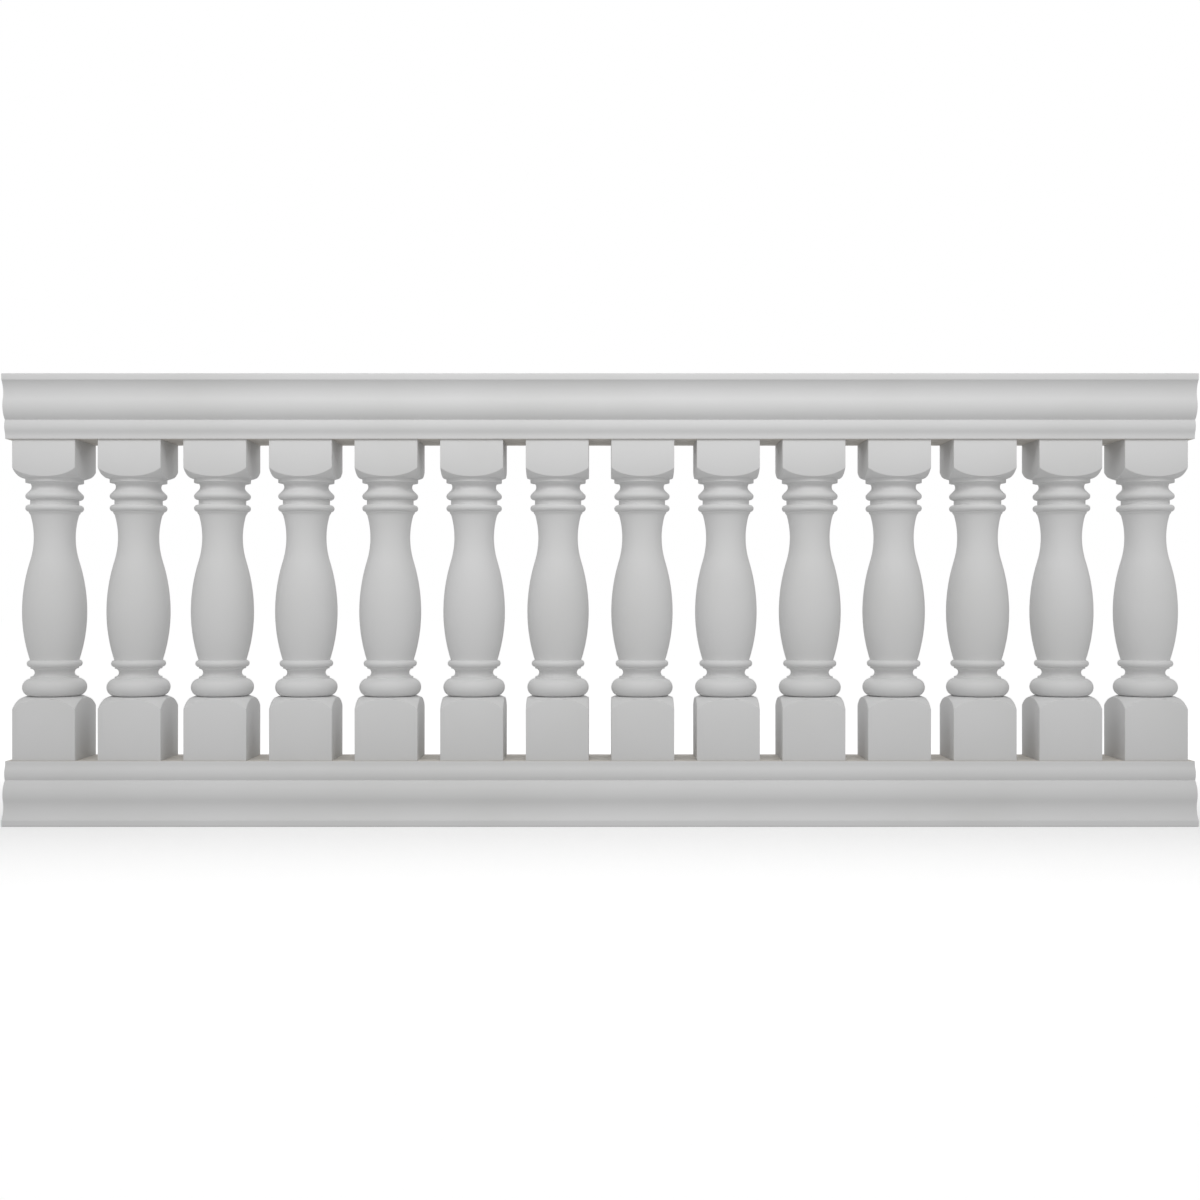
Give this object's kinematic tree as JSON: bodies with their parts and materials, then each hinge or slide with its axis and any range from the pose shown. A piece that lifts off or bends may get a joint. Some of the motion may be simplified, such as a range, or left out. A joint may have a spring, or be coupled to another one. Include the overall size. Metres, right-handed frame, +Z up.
{
  "type": "deck railing section",
  "caption": "Straight deck railing section: turned vase balusters with square blocks, set on steel core pipes between matching moulded top and bottom rails.",
  "frame": {"origin": "on the floor, under the middle of the bottom rail", "axes": "+X along the rails, +Y from the front to the back, +Z up"},
  "size_m": [2.4384, 0.1778, 0.9244],
  "materials": {
    "primed_urethane": "light grey-white primer, matt",
    "galvanised_steel": "galvanised tube, dull"
  },
  "bodies": {
    "root": {"bottom_rail": "primed_urethane", "top_rail": "primed_urethane", "baluster_01": "primed_urethane", "baluster_02": "primed_urethane", "baluster_03": "primed_urethane", "baluster_04": "primed_urethane", "baluster_05": "primed_urethane", "baluster_06": "primed_urethane", "baluster_07": "primed_urethane", "baluster_08": "primed_urethane", "baluster_09": "primed_urethane", "baluster_10": "primed_urethane", "baluster_11": "primed_urethane", "baluster_12": "primed_urethane", "baluster_13": "primed_urethane", "baluster_14": "primed_urethane", "core_pipe_01": "galvanised_steel", "core_pipe_02": "galvanised_steel", "core_pipe_03": "galvanised_steel", "core_pipe_04": "galvanised_steel", "core_pipe_05": "galvanised_steel", "core_pipe_06": "galvanised_steel", "core_pipe_07": "galvanised_steel", "core_pipe_08": "galvanised_steel", "core_pipe_09": "galvanised_steel", "core_pipe_10": "galvanised_steel", "core_pipe_11": "galvanised_steel", "core_pipe_12": "galvanised_steel", "core_pipe_13": "galvanised_steel", "core_pipe_14": "galvanised_steel"}
  },
  "joints": []
}
